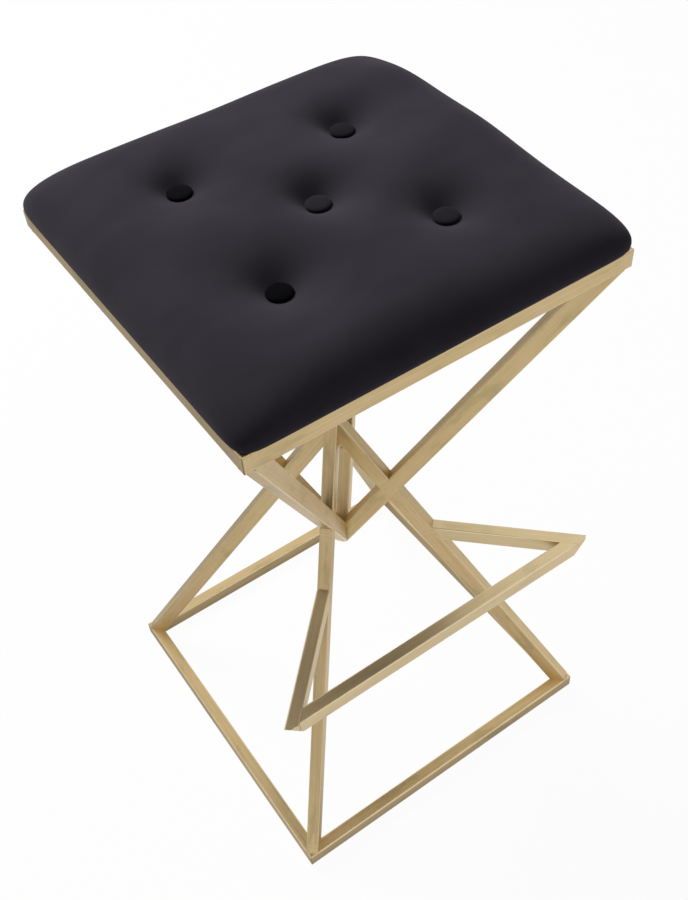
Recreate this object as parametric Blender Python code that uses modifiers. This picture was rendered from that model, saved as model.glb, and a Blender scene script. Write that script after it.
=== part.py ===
"""A square bar stool with a buttoned velvet seat.

Four struts run from the seat frame down to a point on the middle axis, and four legs run from the
base frame up to a higher point on it, so each leg crosses the strut of its own corner. A footrest
stands out on the front. Metres, +Z up. The origin is on the floor under the middle of the stool,
+X runs to the right along the front and +Y to the back.
"""

import math

import bmesh
import bpy
import numpy as np
from mathutils import Matrix, Vector

# Frame tube
TUBE_WIDTH = 0.015  # level, across a rail or a strut
TUBE_DEPTH = 0.020  # down a rail, or in a strut's upright plane
TUBE_WALL = 0.0012
TUBE_EDGE_RADIUS = 0.0016
TIP_FLAT = 0.0010  # ground off the point of a mitred corner, less than the wall there
JOINT_GAP = 0.0003  # between pieces that touch

# Frame
SEAT_SIDE = 0.410  # seat frame, between outer faces
SEAT_FRAME_TOP = 0.746
BASE_SIDE = 0.428  # base frame, between outer faces
STRUT_APEX = 0.289  # where the middle lines of the struts meet
LEG_APEX = 0.489  # where the middle lines of the legs meet
STRUT_SETBACK = 0.0185  # seat corner to the strut's middle line, along the diagonal
LEG_SETBACK = 0.0180  # base corner to the leg's middle line, along the diagonal

# Footrest
FOOTREST_SPAN = 0.410  # between the points where bar and arms would meet
FOOTREST_HEIGHT = 0.315  # middle of the bar
FOOTREST_TIP_CUT = 0.0068  # cut off an arm's sharp point, along the diagonal
FOOTREST_UNDERCUT = 0.0115  # the foot of that cut lies this far behind its top
ARM_CAP = 0.0020  # plate that closes an arm's outer end

# Floor glides
GLIDE_HEIGHT = 0.0020
GLIDE_RADIUS = 0.0060
GLIDE_STEM_RADIUS = 0.0030
GLIDE_STEM_LENGTH = 0.0060
GLIDE_INSET = 0.0350  # base corner to the glide, along the rail

# Corner plates and seat screws
PLATE_LEG = 0.0480
PLATE_THICKNESS = 0.0030
SCREW_INSET = 0.0180  # from the rails' inner faces
SCREW_RADIUS = 0.0020
SCREW_LENGTH = 0.0130
SCREW_HEAD_RADIUS = 0.0040
SCREW_HEAD_HEIGHT = 0.0024

# Seat pad
COVER_THICKNESS = 0.0012
COVER_OVERHANG = 0.0016  # the cover's foot stands this far outside the seat frame's outer faces
COVER_BULGE = 0.0036  # and its fullest line this far
HEM_WIDTH = 0.0250
BOARD_THICKNESS = 0.0120
BOARD_CORNER_RADIUS = 0.0300
BOARD_CLEARANCE = 0.0006  # board edge to the cover's foot
FOAM_THICKNESS = 0.0390
FOAM_CLEARANCE = 0.0008  # foam to the cover's inner face
CROWN_FLATNESS = 3.5  # higher is flatter on top
CROWN_SHOULDER = 2.0  # higher is squarer at the edge
FULL_CORNER = 18.0  # squareness of the plan at the fullest line
FOOT_CORNER = 60.0  # squareness of the plan at the foot
DUST_COVER_THICKNESS = 0.0006
DUST_COVER_CLEARANCE = 0.0010  # to the rails and plates round it

# Tufts
BUTTON_SPACING = 0.178  # between buttons along a side
BUTTON_RADIUS = 0.0130
BUTTON_HEIGHT = 0.0085
BUTTON_SHANK_RADIUS = 0.0030
TUFT_FLOOR_RADIUS = 0.0165
TUFT_REACH = 0.0300  # from the tuft's floor out to the crown
TUFT_FOAM = 0.0060  # foam left under a button
TWINE_RADIUS = 0.0010
KNOT_RADIUS = 0.0032
KNOT_HEIGHT = 0.0030

# Heights, from the seat frame up
HEM_BOTTOM = SEAT_FRAME_TOP + JOINT_GAP
BOARD_BOTTOM = HEM_BOTTOM + COVER_THICKNESS + JOINT_GAP
BOARD_TOP = BOARD_BOTTOM + BOARD_THICKNESS
FOAM_BOTTOM = BOARD_TOP + JOINT_GAP
COVER_TOP = FOAM_BOTTOM + FOAM_THICKNESS + FOAM_CLEARANCE + COVER_THICKNESS
TUFT_FLOOR = FOAM_BOTTOM + TUFT_FOAM + FOAM_CLEARANCE + COVER_THICKNESS
RAIL_BOTTOM = GLIDE_HEIGHT + JOINT_GAP
BASE_TOP = RAIL_BOTTOM + TUBE_DEPTH
SEAT_FRAME_BOTTOM = SEAT_FRAME_TOP - TUBE_DEPTH

# Half sizes
SEAT_HALF = SEAT_SIDE / 2
BASE_HALF = BASE_SIDE / 2
FOOTREST_HALF = FOOTREST_SPAN / 2
COVER_FOOT_HALF = SEAT_HALF + COVER_OVERHANG
COVER_FULL_HALF = SEAT_HALF + COVER_BULGE
BOARD_HALF = COVER_FOOT_HALF - COVER_THICKNESS - BOARD_CLEARANCE
BUTTON_OFFSET = BUTTON_SPACING / 2

UP = Vector((0, 0, 1))
OVERRUN = 2 * (TUBE_WIDTH + TUBE_DEPTH)  # length that the end cuts take off a tube
ROUND_SIDES = 16
CORNERS = {
    "front_left": (-1, -1),
    "front_right": (1, -1),
    "back_left": (-1, 1),
    "back_right": (1, 1),
}
SIDES = {
    "front": (Vector((1, 0, 0)), Vector((0, -1, 0))),
    "back": (Vector((1, 0, 0)), Vector((0, 1, 0))),
    "left": (Vector((0, 1, 0)), Vector((-1, 0, 0))),
    "right": (Vector((0, 1, 0)), Vector((1, 0, 0))),
}
TUFTS = {"centre": (0, 0), **CORNERS}


def clear_scene():
    for old in list(bpy.data.objects):
        bpy.data.objects.remove(old)


def new_collection(name):
    collection = bpy.data.collections.new(name)
    bpy.context.scene.collection.children.link(collection)
    return collection


def material(name, color, roughness, metallic=0.0):
    made = bpy.data.materials.new(name)
    made.use_nodes = True
    shader = made.node_tree.nodes["Principled BSDF"]
    shader.inputs["Base Color"].default_value = (*color, 1.0)
    shader.inputs["Roughness"].default_value = roughness
    shader.inputs["Metallic"].default_value = metallic
    return made


clear_scene()
STOOL = new_collection("bar_stool")
CUTTERS = new_collection("cutters")
ORIGIN = bpy.data.objects.new("stool_origin", None)
STOOL.objects.link(ORIGIN)
BRASS = material("brushed_brass", (0.56, 0.43, 0.23), 0.35, 1.0)
STEEL = material("zinc_steel", (0.55, 0.55, 0.56), 0.40, 1.0)
VELVET = material("charcoal_velvet", (0.035, 0.031, 0.038), 0.90)
FOAM = material("seat_foam", (0.75, 0.70, 0.52), 0.95)
PLYWOOD = material("plywood", (0.56, 0.41, 0.26), 0.75)
DUST_CLOTH = material("dust_cloth", (0.02, 0.02, 0.02), 0.95)
TWINE = material("waxed_twine", (0.50, 0.45, 0.35), 0.85)
NYLON = material("nylon", (0.05, 0.05, 0.05), 0.50)


def mesh_from(bm, name):
    """Closes the books on a bmesh: outward faces, smooth shading with crisp edges."""
    bmesh.ops.recalc_face_normals(bm, faces=bm.faces)
    mesh = bpy.data.meshes.new(name)
    bm.to_mesh(mesh)
    bm.free()
    mesh.shade_smooth()
    mesh.set_sharp_from_angle(angle=math.radians(35))
    return mesh


def part(name, mesh, finish, place=Matrix.Identity(4)):
    made = bpy.data.objects.new(name, mesh)
    mesh.materials.append(finish)
    STOOL.objects.link(made)
    made.parent = ORIGIN
    made.matrix_world = place
    return made


def cutter(name, mesh, place=Matrix.Identity(4)):
    made = bpy.data.objects.new(name, mesh)
    CUTTERS.objects.link(made)
    made.matrix_world = place
    made.hide_render = True
    made.display_type = "WIRE"
    return made


def subtract(target, tool):
    modifier = target.modifiers.new(tool.name, "BOOLEAN")
    modifier.operation = "DIFFERENCE"
    modifier.solver = "EXACT"
    modifier.object = tool


def block(size):
    bm = bmesh.new()
    bmesh.ops.create_cube(bm, size=1, matrix=Matrix.Diagonal((*size, 1)))
    return bm


def edges_along(bm, axis):
    return [e for e in bm.edges if abs((e.verts[1].co - e.verts[0].co).normalized()[axis]) > 0.99]


def round_edges(bm, axis, radius, segments):
    bmesh.ops.bevel(
        bm,
        geom=edges_along(bm, axis),
        offset=radius,
        segments=segments,
        profile=0.5,
        affect="EDGES",
    )


def cut_away(bm, point, normal):
    """Removes what lies on the normal's side of a plane and closes the cut."""
    bmesh.ops.bisect_plane(
        bm,
        geom=bm.verts[:] + bm.edges[:] + bm.faces[:],
        plane_co=point,
        plane_no=normal,
        clear_outer=True,
    )
    bmesh.ops.holes_fill(bm, edges=[e for e in bm.edges if e.is_boundary], sides=0)


def frame_along(start, end, across):
    """Placement with Z from start to end, X across, and its origin half way."""
    along = (end - start).normalized()
    down = along.cross(across)
    turn = Matrix((across, down, along)).transposed().to_4x4()
    return Matrix.Translation((start + end) / 2) @ turn


def tube(name, start, end, across, cuts, cavity=(OVERRUN, OVERRUN)):
    """Rectangular brass tube whose ends are trimmed by planes.

    A cut is a point and the outward normal of the end that it leaves. The cavity runs past the
    start and the end by the two given lengths.
    """
    place = frame_along(start, end, across)
    inverse = place.inverted()
    turn = inverse.to_3x3()
    length = (end - start).length
    bm = block((TUBE_WIDTH, TUBE_DEPTH, length + 2 * OVERRUN))
    round_edges(bm, 2, TUBE_EDGE_RADIUS, 3)
    for point, normal in cuts:
        cut_away(bm, inverse @ point, turn @ normal)
    made = part(name, mesh_from(bm, name), BRASS, place)
    before, after = cavity
    hollow = block((TUBE_WIDTH - 2 * TUBE_WALL, TUBE_DEPTH - 2 * TUBE_WALL, length + before + after))
    shift = Matrix.Translation((0, 0, (after - before) / 2))
    subtract(made, cutter(name + "_cavity", mesh_from(hollow, name + "_cavity"), place @ shift))
    return made


def turned(name, profile, finish, place):
    """Shape turned about Z from (radius, height) points, from the top of the axis to its foot."""
    mesh = bpy.data.meshes.new(name)
    points = [(radius, 0, height) for radius, height in profile]
    mesh.from_pydata(points, [(i, i + 1) for i in range(len(points) - 1)], [])
    made = part(name, mesh, finish, place)
    screw = made.modifiers.new("turn", "SCREW")
    screw.axis = "Z"
    screw.steps = ROUND_SIDES
    screw.render_steps = ROUND_SIDES
    screw.use_merge_vertices = True
    screw.merge_threshold = 1e-5
    screw.use_smooth_shade = True
    return made


def upright_rods(name, places, radius, bottom, top):
    """One cutter of upright round rods."""
    bm = bmesh.new()
    for x, y in places:
        bmesh.ops.create_cone(
            bm,
            cap_ends=True,
            segments=ROUND_SIDES,
            radius1=radius,
            radius2=radius,
            depth=top - bottom,
            matrix=Matrix.Translation((x, y, (top + bottom) / 2)),
        )
    return cutter(name, mesh_from(bm, name))


def square_frame(prefix, half, middle):
    """Four rails with mitred corners whose points are ground flat."""
    made = {}
    for side, (along, outward) in SIDES.items():
        line = outward * (half - TUBE_WIDTH / 2) + UP * middle
        cuts = []
        for end in (along, -along):
            mitre = (end - outward).normalized()
            tip = (end + outward).normalized()
            cuts.append((-mitre * JOINT_GAP / 2, mitre))
            cuts.append((tip * (half * math.sqrt(2) - TIP_FLAT), tip))
        start = line - along * half
        end = line + along * half
        made[side] = tube(f"{prefix}_{side}", start, end, outward, cuts)
    return made


def diagonal(corner):
    """Unit vectors outwards along a corner's diagonal and level across it."""
    sx, sy = CORNERS[corner]
    out = Vector((sx, sy, 0)).normalized()
    return out, UP.cross(out)


def quarter_cuts(corner):
    """The two upright planes that mitre a tube against its neighbours on the middle axis."""
    sx, sy = CORNERS[corner]
    towards = (Vector((-sx, 0, 0)), Vector((0, -sy, 0)))
    return [(-plane * JOINT_GAP / 2, plane) for plane in towards]


def slanted_line(corner, half, setback, height, apex):
    """A strut's or leg's middle line: where it meets its frame, where it meets the axis, and
    the normal of its outward face."""
    out, _ = diagonal(corner)
    foot = out * (half * math.sqrt(2) - setback) + UP * height
    top = UP * apex
    along = (top - foot).normalized()
    face = out - along * out.dot(along)
    return foot, top, face.normalized()


def strut_line(corner):
    return slanted_line(corner, SEAT_HALF, STRUT_SETBACK, SEAT_FRAME_BOTTOM, STRUT_APEX)


def leg_line(corner):
    return slanted_line(corner, BASE_HALF, LEG_SETBACK, BASE_TOP, LEG_APEX)


def upper_strut(corner):
    start, end, _ = strut_line(corner)
    _, across = diagonal(corner)
    level = (UP * (SEAT_FRAME_BOTTOM - JOINT_GAP), UP)
    tube(f"strut_{corner}", start, end, across, [level, *quarter_cuts(corner)])


def leg(corner):
    """A leg is cut where the strut passes through it: a long lower part and a short top."""
    start, end, _ = leg_line(corner)
    _, across = diagonal(corner)
    strut_foot, _, strut_face = strut_line(corner)
    clear = TUBE_DEPTH / 2 + JOINT_GAP
    below = (strut_foot + strut_face * clear, -strut_face)
    above = (strut_foot - strut_face * clear, strut_face)
    level = (UP * (BASE_TOP + JOINT_GAP), -UP)
    tube(f"leg_{corner}", start, end, across, [level, below])
    tube(f"leg_top_{corner}", start, end, across, [above, *quarter_cuts(corner)])


def footrest():
    """Two level arms from the front legs and a bar between them, undercut at the corners."""
    front = Vector((0, -1, 0))
    at_front = (front * FOOTREST_HALF, front)
    tip_reach = FOOTREST_HALF * math.sqrt(2) + TUBE_WIDTH / 2 - FOOTREST_TIP_CUT
    foot_reach = tip_reach - FOOTREST_UNDERCUT
    bar_cuts = []
    for corner in ("front_left", "front_right"):
        out, across = diagonal(corner)
        leg_foot, leg_top, leg_face = leg_line(corner)
        share = (FOOTREST_HEIGHT - leg_foot.z) / (leg_top.z - leg_foot.z)
        start = leg_foot.lerp(leg_top, share)
        end = out * foot_reach + UP * FOOTREST_HEIGHT
        at_leg = (leg_foot + leg_face * (TUBE_DEPTH / 2 + JOINT_GAP), -leg_face)
        tip = out * tip_reach + UP * (FOOTREST_HEIGHT + TUBE_DEPTH / 2)
        at_tip = (tip, (out * TUBE_DEPTH - UP * FOOTREST_UNDERCUT).normalized())
        name = "footrest_arm_" + corner.removeprefix("front_")
        tube(name, start, end, across, [at_leg, at_tip, at_front], (OVERRUN, -ARM_CAP))
        inward = across if across.x * out.x < 0 else -across
        bar_cuts.append((inward * (TUBE_WIDTH / 2 + JOINT_GAP), -inward))
        bar_cuts.append(at_tip)
    inner_face = FOOTREST_HALF - TUBE_WALL
    cavity_half = foot_reach * math.sqrt(2) - inner_face - TUBE_WALL
    line = UP * FOOTREST_HEIGHT + front * (FOOTREST_HALF - TUBE_WIDTH / 2)
    along = Vector((FOOTREST_HALF, 0, 0))
    spare = cavity_half - FOOTREST_HALF
    tube("footrest_bar", line - along, line + along, front, bar_cuts, (spare, spare))


def floor_glides(rails):
    """Nylon glides pressed up into the front and back base rails."""
    hole = GLIDE_STEM_RADIUS + JOINT_GAP
    for side, sy in (("front", -1), ("back", 1)):
        y = sy * (BASE_HALF - TUBE_WIDTH / 2)
        places = [(sx * (BASE_HALF - GLIDE_INSET), y) for sx in (-1, 1)]
        top = RAIL_BOTTOM + TUBE_DEPTH / 2
        subtract(rails[side], upright_rods(f"glide_holes_{side}", places, hole, 0, top))
        for sx, (x, _) in zip(("left", "right"), places):
            stem_top = GLIDE_HEIGHT + GLIDE_STEM_LENGTH
            profile = [
                (0, stem_top),
                (GLIDE_STEM_RADIUS, stem_top),
                (GLIDE_STEM_RADIUS, GLIDE_HEIGHT),
                (GLIDE_RADIUS, GLIDE_HEIGHT),
                (GLIDE_RADIUS, GLIDE_HEIGHT / 2),
                (GLIDE_RADIUS - GLIDE_HEIGHT / 2, 0),
                (0, 0),
            ]
            turned(f"glide_{side}_{sx}", profile, NYLON, Matrix.Translation((x, y, 0)))


def screw_places():
    reach = SEAT_HALF - TUBE_WIDTH - SCREW_INSET
    return {corner: (sx * reach, sy * reach) for corner, (sx, sy) in CORNERS.items()}


def corner_plates():
    """Triangular plates welded into the seat frame's corners, flush with its top."""
    for corner, (x, y) in screw_places().items():
        sx, sy = CORNERS[corner]
        outer = SEAT_HALF - TUBE_WIDTH - JOINT_GAP
        middle = outer - PLATE_LEG / 2
        bm = block((PLATE_LEG, PLATE_LEG, PLATE_THICKNESS))
        inward = Vector((-sx, -sy, 0)).normalized()
        cut_away(bm, Vector((0, 0, 0)), inward)
        name = f"corner_plate_{corner}"
        height = SEAT_FRAME_TOP - PLATE_THICKNESS / 2
        place = Matrix.Translation((sx * middle, sy * middle, height))
        plate = part(name, mesh_from(bm, name), STEEL, place)
        hole = SCREW_RADIUS + JOINT_GAP
        bottom = SEAT_FRAME_TOP - 2 * PLATE_THICKNESS
        tool = upright_rods(f"plate_hole_{corner}", [(x, y)], hole, bottom, BOARD_BOTTOM)
        subtract(plate, tool)


def seat_screws():
    """Pan-head screws from below, through the corner plates into the board."""
    seat = SEAT_FRAME_TOP - PLATE_THICKNESS - JOINT_GAP
    for corner, (x, y) in screw_places().items():
        profile = [
            (0, SCREW_LENGTH),
            (SCREW_RADIUS / 2, SCREW_LENGTH),
            (SCREW_RADIUS, SCREW_LENGTH - SCREW_RADIUS),
            (SCREW_RADIUS, 0),
            (SCREW_HEAD_RADIUS, 0),
            (SCREW_HEAD_RADIUS, -SCREW_HEAD_HEIGHT / 2),
            (SCREW_HEAD_RADIUS * 0.7, -SCREW_HEAD_HEIGHT),
            (0, -SCREW_HEAD_HEIGHT),
        ]
        turned(f"seat_screw_{corner}", profile, STEEL, Matrix.Translation((x, y, seat)))


def tuft_places():
    return {name: (sx * BUTTON_OFFSET, sy * BUTTON_OFFSET) for name, (sx, sy) in TUFTS.items()}


def seat_board():
    bm = block((2 * BOARD_HALF, 2 * BOARD_HALF, BOARD_THICKNESS))
    round_edges(bm, 2, BOARD_CORNER_RADIUS, 6)
    place = Matrix.Translation((0, 0, (BOARD_BOTTOM + BOARD_TOP) / 2))
    board = part("seat_board", mesh_from(bm, "seat_board"), PLYWOOD, place)
    knot_top = BOARD_BOTTOM + KNOT_HEIGHT + JOINT_GAP
    recess = upright_rods(
        "knot_recesses",
        tuft_places().values(),
        KNOT_RADIUS + JOINT_GAP,
        SEAT_FRAME_TOP,
        knot_top,
    )
    screw_top = SEAT_FRAME_TOP - PLATE_THICKNESS - JOINT_GAP + SCREW_LENGTH
    pilots = upright_rods(
        "pilot_holes",
        screw_places().values(),
        SCREW_RADIUS + JOINT_GAP,
        SEAT_FRAME_TOP,
        screw_top + JOINT_GAP,
    )
    subtract(board, recess)
    subtract(board, pilots)
    return board


def dust_cover():
    """Black cloth under the board, with its corners cut off to clear the plates."""
    half = SEAT_HALF - TUBE_WIDTH - DUST_COVER_CLEARANCE
    bm = block((2 * half, 2 * half, DUST_COVER_THICKNESS))
    round_edges(bm, 2, PLATE_LEG + DUST_COVER_CLEARANCE, 1)
    place = Matrix.Translation((0, 0, SEAT_FRAME_TOP - DUST_COVER_THICKNESS / 2))
    part("dust_cover", mesh_from(bm, "dust_cover"), DUST_CLOTH, place)


def pad_lines(full_half):
    """Grid lines from the middle out to the fullest line, close together at the tufts."""
    floor_half = TUFT_FLOOR_RADIUS / math.sqrt(2)
    inner = BUTTON_OFFSET - floor_half
    outer = BUTTON_OFFSET + floor_half
    tufts = [0, floor_half, BUTTON_OFFSET / 2, inner, BUTTON_OFFSET, outer]
    edge = [outer + (full_half - outer) * share for share in (0.32, 0.64, 0.88, 1)]
    return tufts + edge


def rounded_plan(u, v, squareness):
    """Factor that turns a square ring into a superellipse of the given squareness."""
    ring = np.maximum(np.maximum(np.abs(u), np.abs(v)), 1e-9)
    total = np.abs(u / ring) ** squareness + np.abs(v / ring) ** squareness
    return np.maximum(total, 1) ** (-1 / squareness)


def tuft_depth(x, y, floor_radius):
    """One on the floor of a tuft, falling smoothly to zero on the crown round it."""
    depth = np.zeros_like(x)
    for cx, cy in tuft_places().values():
        away = (np.hypot(x - cx, y - cy) - floor_radius) / TUFT_REACH
        rise = np.clip(away, 0, 1)
        depth = np.maximum(depth, 1 - rise * rise * (3 - 2 * rise))
    return depth


def pad_top(u, v, inset):
    """The pad's crown with its tufts, moved in from the cover's outer face by inset."""
    full_half = COVER_FULL_HALF - inset
    ring = np.maximum(np.abs(u), np.abs(v)) / full_half
    factor = 1 + (rounded_plan(u, v, FULL_CORNER) - 1) * ring**6
    x = u * factor
    y = v * factor
    swell = (1 - np.abs(u / full_half) ** CROWN_FLATNESS) * (1 - np.abs(v / full_half) ** CROWN_FLATNESS)
    rise = np.clip(swell, 0, 1) ** (1 / CROWN_SHOULDER)
    crown = FOAM_BOTTOM + (COVER_TOP - inset - FOAM_BOTTOM) * rise
    depth = tuft_depth(x, y, TUFT_FLOOR_RADIUS + inset)
    return x, y, crown - depth * (crown - (TUFT_FLOOR - inset))


def pad_grid(lines, shape):
    """Square grid on the given lines and their mirror images, moved onto the shape.

    Each cell is split from its inner to its outer corner, so that all four quarters fold alike.
    """
    values = np.array([-line for line in lines[:0:-1]] + lines)
    bm = bmesh.new()
    count = len(values) - 1
    bmesh.ops.create_grid(bm, x_segments=count, y_segments=count, size=count / 2)
    for vert in bm.verts:
        column = round(vert.co.x + count / 2)
        row = round(vert.co.y + count / 2)
        vert.co = shape(values[column], values[row])
        vert.index = max(abs(column - count // 2), abs(row - count // 2)) * count
        vert.index += min(abs(column - count // 2), abs(row - count // 2))
    for face in list(bm.faces):
        ordered = sorted(face.verts, key=lambda vert: vert.index)
        bmesh.utils.face_split(face, ordered[0], ordered[-1])
    return bm


def velvet_cover():
    """Cover of the pad: crown and tufts, sides drawn in to the foot, and a hem under the board."""
    lines = pad_lines(COVER_FULL_HALF)
    foot_line = COVER_FULL_HALF + TUFT_FLOOR_RADIUS
    hem_line = foot_line + TUFT_FLOOR_RADIUS

    def shape(u, v):
        ring = max(abs(u), abs(v))
        if ring <= COVER_FULL_HALF:
            return [float(c) for c in pad_top(np.float64(u), np.float64(v), 0)]
        half = COVER_FOOT_HALF if ring < hem_line else COVER_FOOT_HALF - HEM_WIDTH
        factor = float(rounded_plan(np.float64(u), np.float64(v), FOOT_CORNER)) * half / ring
        return u * factor, v * factor, HEM_BOTTOM

    bm = pad_grid(lines + [foot_line, hem_line], shape)
    cover = part("velvet_cover", mesh_from(bm, "velvet_cover"), VELVET)
    wall = cover.modifiers.new("cloth", "SOLIDIFY")
    wall.thickness = COVER_THICKNESS
    wall.offset = -1
    return cover


def foam_pad():
    """Foam between the board and the cover, with the same crown and tufts."""
    inset = COVER_THICKNESS + FOAM_CLEARANCE
    lines = pad_lines(COVER_FULL_HALF - inset)

    def shape(u, v):
        return [float(c) for c in pad_top(np.float64(u), np.float64(v), inset)]

    bm = pad_grid(lines, shape)
    bmesh.ops.holes_fill(bm, edges=[e for e in bm.edges if e.is_boundary], sides=0)
    return part("foam_pad", mesh_from(bm, "foam_pad"), FOAM)


def tuft_fittings(pierced):
    """Covered buttons, each held down by a knotted twine through the pad and the board."""
    hole = TWINE_RADIUS + JOINT_GAP
    rods = upright_rods("twine_holes", tuft_places().values(), hole, SEAT_FRAME_TOP, COVER_TOP)
    for target in pierced:
        subtract(target, rods)
    seat = TUFT_FLOOR + JOINT_GAP
    rim = BUTTON_HEIGHT * 0.45
    dome = BUTTON_HEIGHT - rim
    knot_middle = BOARD_BOTTOM + KNOT_HEIGHT / 2
    for name, (x, y) in tuft_places().items():
        arc = [math.radians(90 - angle) for angle in range(0, 91, 15)]
        profile = [(BUTTON_RADIUS * math.cos(a), rim + dome * math.sin(a)) for a in arc]
        profile[0] = (0, BUTTON_HEIGHT)
        profile += [(BUTTON_SHANK_RADIUS, BUTTON_HEIGHT * 0.12), (BUTTON_SHANK_RADIUS, 0), (0, 0)]
        turned(f"button_{name}", profile, VELVET, Matrix.Translation((x, y, seat)))
        length = TUFT_FLOOR - knot_middle
        twine = [
            (0, length),
            (TWINE_RADIUS, length),
            (TWINE_RADIUS, KNOT_HEIGHT / 2),
            (KNOT_RADIUS * 0.7, KNOT_HEIGHT / 2),
            (KNOT_RADIUS, 0),
            (KNOT_RADIUS * 0.7, -KNOT_HEIGHT / 2),
            (0, -KNOT_HEIGHT / 2),
        ]
        turned(f"tuft_twine_{name}", twine, TWINE, Matrix.Translation((x, y, knot_middle)))


def stool():
    square_frame("seat_rail", SEAT_HALF, SEAT_FRAME_TOP - TUBE_DEPTH / 2)
    base_rails = square_frame("base_rail", BASE_HALF, RAIL_BOTTOM + TUBE_DEPTH / 2)
    for corner in CORNERS:
        upper_strut(corner)
        leg(corner)
    footrest()
    floor_glides(base_rails)
    corner_plates()
    seat_screws()
    dust_cover()
    tuft_fittings([velvet_cover(), foam_pad(), seat_board()])


stool()
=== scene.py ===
"""Looks of a square bar stool: brushed brass tube, a black velvet pad drawn down by five buttons."""

import math

import bpy
import numpy as np
from mathutils import Matrix, Vector


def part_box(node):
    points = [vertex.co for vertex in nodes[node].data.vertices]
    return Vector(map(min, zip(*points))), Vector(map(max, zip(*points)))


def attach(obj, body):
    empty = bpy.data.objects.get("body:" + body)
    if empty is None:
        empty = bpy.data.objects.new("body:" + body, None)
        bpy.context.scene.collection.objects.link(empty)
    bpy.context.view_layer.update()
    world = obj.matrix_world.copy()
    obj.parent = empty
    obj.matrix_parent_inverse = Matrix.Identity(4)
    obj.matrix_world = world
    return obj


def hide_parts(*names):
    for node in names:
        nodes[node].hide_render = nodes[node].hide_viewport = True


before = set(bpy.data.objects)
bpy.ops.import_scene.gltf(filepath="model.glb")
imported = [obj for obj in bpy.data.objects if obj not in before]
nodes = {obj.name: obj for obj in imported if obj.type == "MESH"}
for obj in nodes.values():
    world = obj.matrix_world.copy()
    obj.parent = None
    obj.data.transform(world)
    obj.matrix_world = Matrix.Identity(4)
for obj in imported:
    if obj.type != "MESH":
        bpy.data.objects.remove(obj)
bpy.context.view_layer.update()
scene = bpy.context.scene

BODY = "root"
TUFTS = ("centre", "front_left", "front_right", "back_left", "back_right")
TUBES = sorted(n for n in nodes if n.startswith(("base_rail", "seat_rail", "strut", "leg", "footrest")))


def new_object(name, mesh):
    made = bpy.data.objects.new(name, mesh)
    scene.collection.objects.link(made)
    return made


def surface(name, points, faces, smooth=True):
    """Mesh object from an array of points and an array, or list, of faces."""
    mesh = bpy.data.meshes.new(name)
    mesh.from_pydata(points.reshape(-1, 3).tolist(), [], [list(map(int, f)) for f in faces])
    mesh.validate()
    if smooth:
        mesh.shade_smooth()
    return new_object(name, mesh)


def grid_faces(rows, columns, wrap=False):
    """Four-sided faces of a grid of points numbered row by row; wrap joins the last column to the first."""
    last = columns if wrap else columns - 1
    r, c = np.meshgrid(np.arange(rows - 1), np.arange(last), indexing="ij")
    n = (c + 1) % columns
    corners = [r * columns + c, r * columns + n, (r + 1) * columns + n, (r + 1) * columns + c]
    return np.stack(corners, -1).reshape(-1, 4)


def smoothstep(low, high, x):
    """Nought up to low, one from high on, and a cubic curve that is level at both ends between them."""
    t = np.clip((x - low) / (high - low), 0, 1)
    return t * t * (3 - 2 * t)


# Camera

CAMERA_TURN = -31.44  # degrees round the stool from straight in front, towards its left
CAMERA_RISE = 47.595  # degrees above the target
CAMERA_LEAN = -4.62  # degrees, about the line of sight
CAMERA_TARGET = (0.0118, 0.0, 0.4319)
CAMERA_DISTANCE = 1.267
CAMERA_SENSOR = 36  # mm
CAMERA_LENS = 44.44  # mm


def photo_camera():
    """Camera turned about the stool to the photograph's side, height and slight lean."""
    turn, rise, lean = map(math.radians, (CAMERA_TURN, CAMERA_RISE, CAMERA_LEAN))
    level = math.cos(rise)
    back = Vector((math.sin(turn) * level, -math.cos(turn) * level, math.sin(rise)))
    right = (-back).cross(Vector((0, 0, 1))).normalized()
    up = right.cross(-back)
    across = right * math.cos(lean) + up * math.sin(lean)
    above = up * math.cos(lean) - right * math.sin(lean)
    place = Matrix((across, above, back)).transposed().to_4x4()
    place.translation = Vector(CAMERA_TARGET) + back * CAMERA_DISTANCE
    data = bpy.data.cameras.new("photo_camera")
    data.sensor_width = CAMERA_SENSOR
    data.lens = CAMERA_LENS
    camera = new_object("photo_camera", data)
    camera.matrix_world = place
    scene.camera = camera


# Node tools


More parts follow.
